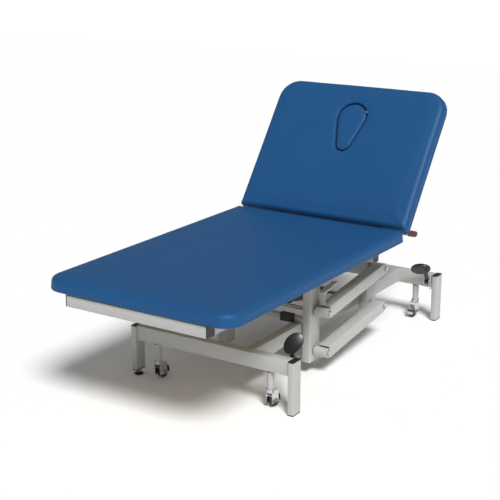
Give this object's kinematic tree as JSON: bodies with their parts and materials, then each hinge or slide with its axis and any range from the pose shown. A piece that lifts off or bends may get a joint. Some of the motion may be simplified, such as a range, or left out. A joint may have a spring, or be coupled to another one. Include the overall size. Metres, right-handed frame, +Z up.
{
  "type": "medical exam table",
  "caption": "Two-section treatment table with an adjustable backrest, face hole plug, parallel-arm electric height lift, pedal-operated retractable castors and box-tube base.",
  "frame": {"origin": "on the floor, under the middle of the whole table as it stands with its backrest raised", "axes": "X across the table, +Y from the foot end to the head end, +Z up"},
  "size_m": [0.82, 1.753, 1.0424],
  "materials": {
    "frame_paint": "light grey powder coat, satin",
    "blue_vinyl": "smooth upholstery vinyl, satin",
    "black_plastic": "moulded black nylon, satin",
    "black_painted_steel": "black paint, satin",
    "zinc_steel": "zinc-plated steel",
    "chrome": "bright chrome plate",
    "plywood": "birch plywood",
    "castor_rubber": "black castor tread"
  },
  "bodies": {
    "base": {"actuator_pivot_bar": "zinc_steel", "base_post_left": "frame_paint", "base_post_right": "frame_paint", "foot_pad_front_left": "black_plastic", "foot_pad_front_right": "black_plastic", "foot_pad_rear_left": "black_plastic", "foot_pad_rear_right": "black_plastic", "front_cross_beam": "frame_paint", "leg_cap_front_left": "black_plastic", "leg_cap_front_right": "black_plastic", "leg_cap_rear_left": "black_plastic", "leg_cap_rear_right": "black_plastic", "leg_front_left": "frame_paint", "leg_front_right": "frame_paint", "leg_rear_left": "frame_paint", "leg_rear_right": "frame_paint", "long_beam_left": "frame_paint", "long_beam_right": "frame_paint", "rear_cross_beam": "frame_paint", "rear_upper_shaft": "zinc_steel"},
    "levelling_foot": {"levelling_foot": "black_plastic"},
    "upper_arms": {"upper_arm_left": "frame_paint", "upper_arm_right": "frame_paint"},
    "lower_arms": {"lower_arm_left": "frame_paint", "lower_arm_right": "frame_paint"},
    "top_frame": {"carrier_rail": "frame_paint", "foot_rail": "frame_paint", "foot_rail_cap_left": "black_plastic", "foot_rail_cap_right": "black_plastic", "front_upper_shaft": "zinc_steel", "hang_post_left": "frame_paint", "hang_post_right": "frame_paint", "post_cross_tube": "frame_paint", "seat_board": "plywood", "seat_cushion": "blue_vinyl", "seat_rear_rail": "frame_paint", "side_rail_left": "frame_paint", "side_rail_right": "frame_paint"},
    "actuator_tube": {"actuator_body": "black_painted_steel"},
    "actuator_rod": {"actuator_rod": "zinc_steel"},
    "backrest": {"back_cushion": "blue_vinyl", "back_board": "plywood", "back_rail_left": "frame_paint", "back_rail_right": "frame_paint"},
    "face_plug": {"face_plug": "blue_vinyl"},
    "gas_cylinder": {"gas_spring_cylinder": "black_painted_steel"},
    "gas_rod": {"gas_spring_rod": "chrome"},
    "release_lever": {"release_lever": "frame_paint"},
    "front_castor_lift": {"front_castor_carrier": "frame_paint"},
    "rear_castor_lift": {"rear_castor_carrier": "frame_paint"},
    "front_pedal": {"front_pedal": "black_plastic"},
    "rear_pedal": {"rear_pedal": "black_plastic"},
    "castor_front_left": {"castor_fork_front_left": "chrome"},
    "castor_wheel_front_left": {"castor_wheel_front_left": "castor_rubber"},
    "castor_front_right": {"castor_fork_front_right": "chrome"},
    "castor_wheel_front_right": {"castor_wheel_front_right": "castor_rubber"},
    "castor_rear_left": {"castor_fork_rear_left": "chrome"},
    "castor_wheel_rear_left": {"castor_wheel_rear_left": "castor_rubber"},
    "castor_rear_right": {"castor_fork_rear_right": "chrome"},
    "castor_wheel_rear_right": {"castor_wheel_rear_right": "castor_rubber"}
  },
  "joints": [
    {"name": "levelling_screw", "type": "slide", "parent": "base", "child": "levelling_foot", "axis": [0, 0, -1], "range_m": [0, 0.012]},
    {"name": "lift", "type": "hinge", "parent": "base", "child": "upper_arms", "pos_m": [0, 0.485, 0.3215], "axis": [-1, 0, 0], "range_deg": [0, 57]},
    {"name": "lower_arm_pivot", "type": "hinge", "parent": "base", "child": "lower_arms", "pos_m": [0, 0.485, 0.154], "axis": [-1, 0, 0], "range_deg": [0, 57]},
    {"name": "top_pivot", "type": "hinge", "parent": "upper_arms", "child": "top_frame", "pos_m": [0, 0, 0.2615], "axis": [-1, 0, 0], "range_deg": [-57, 0]},
    {"name": "actuator_pivot", "type": "hinge", "parent": "base", "child": "actuator_tube", "pos_m": [0, 0.448, 0.182], "axis": [-1, 0, 0], "range_deg": [0, 51.76]},
    {"name": "actuator_stroke", "type": "slide", "parent": "actuator_tube", "child": "actuator_rod", "axis": [0, -0.9846, 0.1747], "range_m": [0, 0.1292]},
    {"name": "backrest", "type": "hinge", "parent": "top_frame", "child": "backrest", "pos_m": [0, 0.406, 0.5103], "axis": [1, 0, 0], "range_deg": [-53.5, 21.5]},
    {"name": "gas_spring_pivot", "type": "hinge", "parent": "top_frame", "child": "gas_cylinder", "pos_m": [0.15, 0.47, 0.3973], "axis": [1, 0, 0], "range_deg": [-49.52, 20.08]},
    {"name": "gas_spring_stroke", "type": "slide", "parent": "gas_cylinder", "child": "gas_rod", "axis": [0, 0.5085, 0.8611], "range_m": [-0.1139, 0.0461]},
    {"name": "face_plug", "type": "slide", "parent": "backrest", "child": "face_plug", "axis": [0, -0.8039, 0.5948], "range_m": [0, 0.08]},
    {"name": "release_lever", "type": "hinge", "parent": "backrest", "child": "release_lever", "pos_m": [0.291, 0.48076, 0.4923], "axis": [0, 0.5948, 0.8039], "range_deg": [0, 15], "stiffness_Nm_per_rad": 3, "springref_deg": -5.73},
    {"name": "front_castor_lift", "type": "slide", "parent": "base", "child": "front_castor_lift", "axis": [0, 0, -1], "range_m": [0, 0.012]},
    {"name": "front_pedal", "type": "hinge", "parent": "base", "child": "front_pedal", "pos_m": [0.33, -0.3605, 0.182], "axis": [-1, 0, 0], "range_deg": [0, 25]},
    {"name": "castor_swivel_front_left", "type": "hinge", "parent": "front_castor_lift", "child": "castor_front_left", "pos_m": [-0.26, -0.393, 0.079], "axis": [0, 0, 1], "continuous": true},
    {"name": "castor_roll_front_left", "type": "hinge", "parent": "castor_front_left", "child": "castor_wheel_front_left", "pos_m": [-0.26, -0.369, 0.0275], "axis": [1, 0, 0], "continuous": true},
    {"name": "castor_swivel_front_right", "type": "hinge", "parent": "front_castor_lift", "child": "castor_front_right", "pos_m": [0.26, -0.393, 0.079], "axis": [0, 0, 1], "continuous": true},
    {"name": "castor_roll_front_right", "type": "hinge", "parent": "castor_front_right", "child": "castor_wheel_front_right", "pos_m": [0.26, -0.369, 0.0275], "axis": [1, 0, 0], "continuous": true},
    {"name": "rear_castor_lift", "type": "slide", "parent": "base", "child": "rear_castor_lift", "axis": [0, 0, -1], "range_m": [0, 0.012]},
    {"name": "rear_pedal", "type": "hinge", "parent": "base", "child": "rear_pedal", "pos_m": [0.33, 0.8165, 0.182], "axis": [1, 0, 0], "range_deg": [0, 25]},
    {"name": "castor_swivel_rear_left", "type": "hinge", "parent": "rear_castor_lift", "child": "castor_rear_left", "pos_m": [-0.26, 0.849, 0.079], "axis": [0, 0, 1], "continuous": true},
    {"name": "castor_roll_rear_left", "type": "hinge", "parent": "castor_rear_left", "child": "castor_wheel_rear_left", "pos_m": [-0.26, 0.825, 0.0275], "axis": [1, 0, 0], "continuous": true},
    {"name": "castor_swivel_rear_right", "type": "hinge", "parent": "rear_castor_lift", "child": "castor_rear_right", "pos_m": [0.26, 0.849, 0.079], "axis": [0, 0, 1], "continuous": true},
    {"name": "castor_roll_rear_right", "type": "hinge", "parent": "castor_rear_right", "child": "castor_wheel_rear_right", "pos_m": [0.26, 0.825, 0.0275], "axis": [1, 0, 0], "continuous": true}
  ],
  "couplings": [
    {"joint": "lower_arm_pivot", "follows": "lift", "ratio": 1},
    {"joint": "top_pivot", "follows": "lift", "ratio": -1},
    {"joint": "actuator_pivot", "follows": "lift", "ratio": 0.9045},
    {"joint": "actuator_stroke", "follows": "lift", "m_per_rad": 0.12941},
    {"joint": "gas_spring_pivot", "follows": "backrest", "ratio": 0.92},
    {"joint": "gas_spring_stroke", "follows": "backrest", "m_per_rad": 0.12147},
    {"joint": "front_pedal", "follows": "front_castor_lift", "rad_per_m": 36.36},
    {"joint": "rear_pedal", "follows": "rear_castor_lift", "rad_per_m": 36.36}
  ]
}
